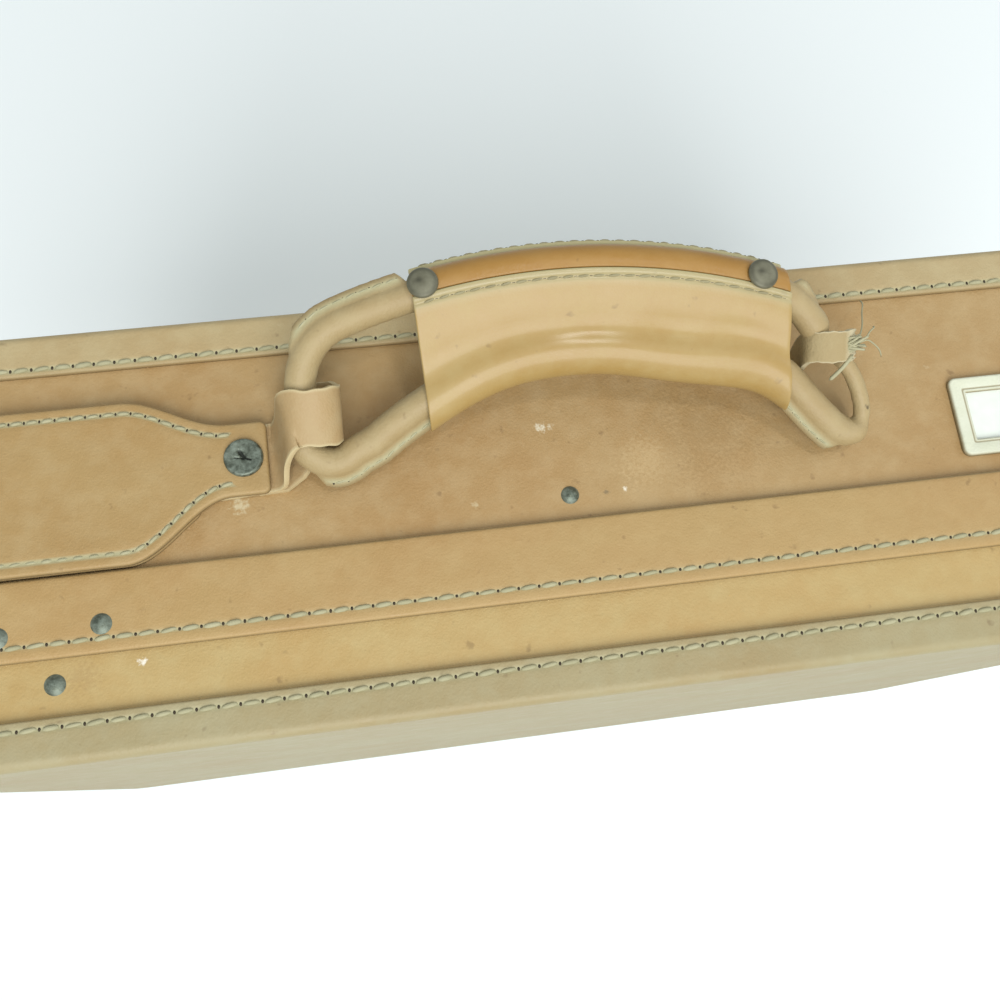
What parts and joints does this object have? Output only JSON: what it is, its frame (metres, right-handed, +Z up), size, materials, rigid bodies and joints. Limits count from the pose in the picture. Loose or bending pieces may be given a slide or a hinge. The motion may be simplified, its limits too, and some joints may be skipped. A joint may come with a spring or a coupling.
{
  "type": "leather briefcase",
  "caption": "Hard leather briefcase with a hinged lid, a covering valance over the joint, a rolled leather ring handle that swings, and sliding bolt catches.",
  "frame": {"origin": "on the floor under the middle of the closed case as it stands on its feet", "axes": "+X along the case and its handle, to the right as seen from the lid's side; +Y to the back face; the lid faces -Y; +Z up to the handle"},
  "size_m": [0.437, 0.127, 0.3698],
  "materials": {
    "board": "stiff pulp board",
    "lining": "woven cotton lining",
    "panel_leather": "worn bridle leather, satin",
    "face_leather": "worn bridle leather, satin",
    "strap_leather": "worn bridle leather, satin",
    "torn_leather": "torn leather, matt flesh side showing",
    "grip_leather": "polished by the hand",
    "strip_leather": "darker, polished",
    "ring_leather": "rolled and stitched, satin",
    "rope": "hemp rope and felt filler",
    "holder_leather": "pale leather, satin",
    "card": "blank card",
    "aged_brass": "dull, with green-grey tarnish",
    "steel": "plain steel"
  },
  "bodies": {
    "body": {"body_shell": "board", "body_lining": "lining", "body_wall_leather": "panel_leather", "back_leather": "face_leather", "handle_tab_base": "strap_leather", "handle_tab": "strap_leather", "left_chape": "strap_leather", "left_chape_rivet": "aged_brass", "right_chape": "torn_leather", "right_chape_rivet": "aged_brass", "wall_stud": "aged_brass", "label_frame": "holder_leather", "label_card": "card", "feet": "aged_brass", "left_hinge_body_leaf": "steel", "right_hinge_body_leaf": "steel", "left_hinge_pin": "steel", "right_hinge_pin": "steel", "hinge_body_rivets": "steel", "left_catch_plate": "aged_brass", "right_catch_plate": "aged_brass", "left_bolt_guide": "steel", "right_bolt_guide": "steel", "catch_plate_rivets": "aged_brass"},
    "lid": {"lid_shell": "board", "lid_lining": "lining", "lid_wall_leather": "panel_leather", "lid_face_leather": "face_leather", "lid_valance": "strap_leather", "left_hinge_lid_leaf": "steel", "right_hinge_lid_leaf": "steel", "hinge_lid_rivets": "steel", "left_keeper": "steel", "right_keeper": "steel", "keeper_rivets": "aged_brass"},
    "handle": {"handle_core": "rope", "handle_ring": "ring_leather", "grip_filler": "rope", "grip_sleeve": "grip_leather", "grip_strip": "strip_leather", "grip_rivets": "aged_brass"},
    "left_bolt": {"left_bolt": "steel", "left_thumb_slide": "aged_brass"},
    "right_bolt": {"right_bolt": "steel", "right_thumb_slide": "aged_brass"}
  },
  "joints": [
    {"name": "lid_hinge", "type": "hinge", "parent": "body", "child": "lid", "pos_m": [0, -0.021, 0.0025], "axis": [1, 0, 0], "range_deg": [0, 150]},
    {"name": "handle_swing", "type": "hinge", "parent": "body", "child": "handle", "pos_m": [0, 0.008, 0.337], "axis": [0.9988, -0.0488, 0], "range_deg": [-25, 60], "deforming": ["left_chape", "right_chape"]},
    {"name": "left_bolt_slide", "type": "slide", "parent": "body", "child": "left_bolt", "axis": [1, 0, 0], "range_m": [0, 0.008]},
    {"name": "right_bolt_slide", "type": "slide", "parent": "body", "child": "right_bolt", "axis": [-1, 0, 0], "range_m": [0, 0.008]}
  ]
}
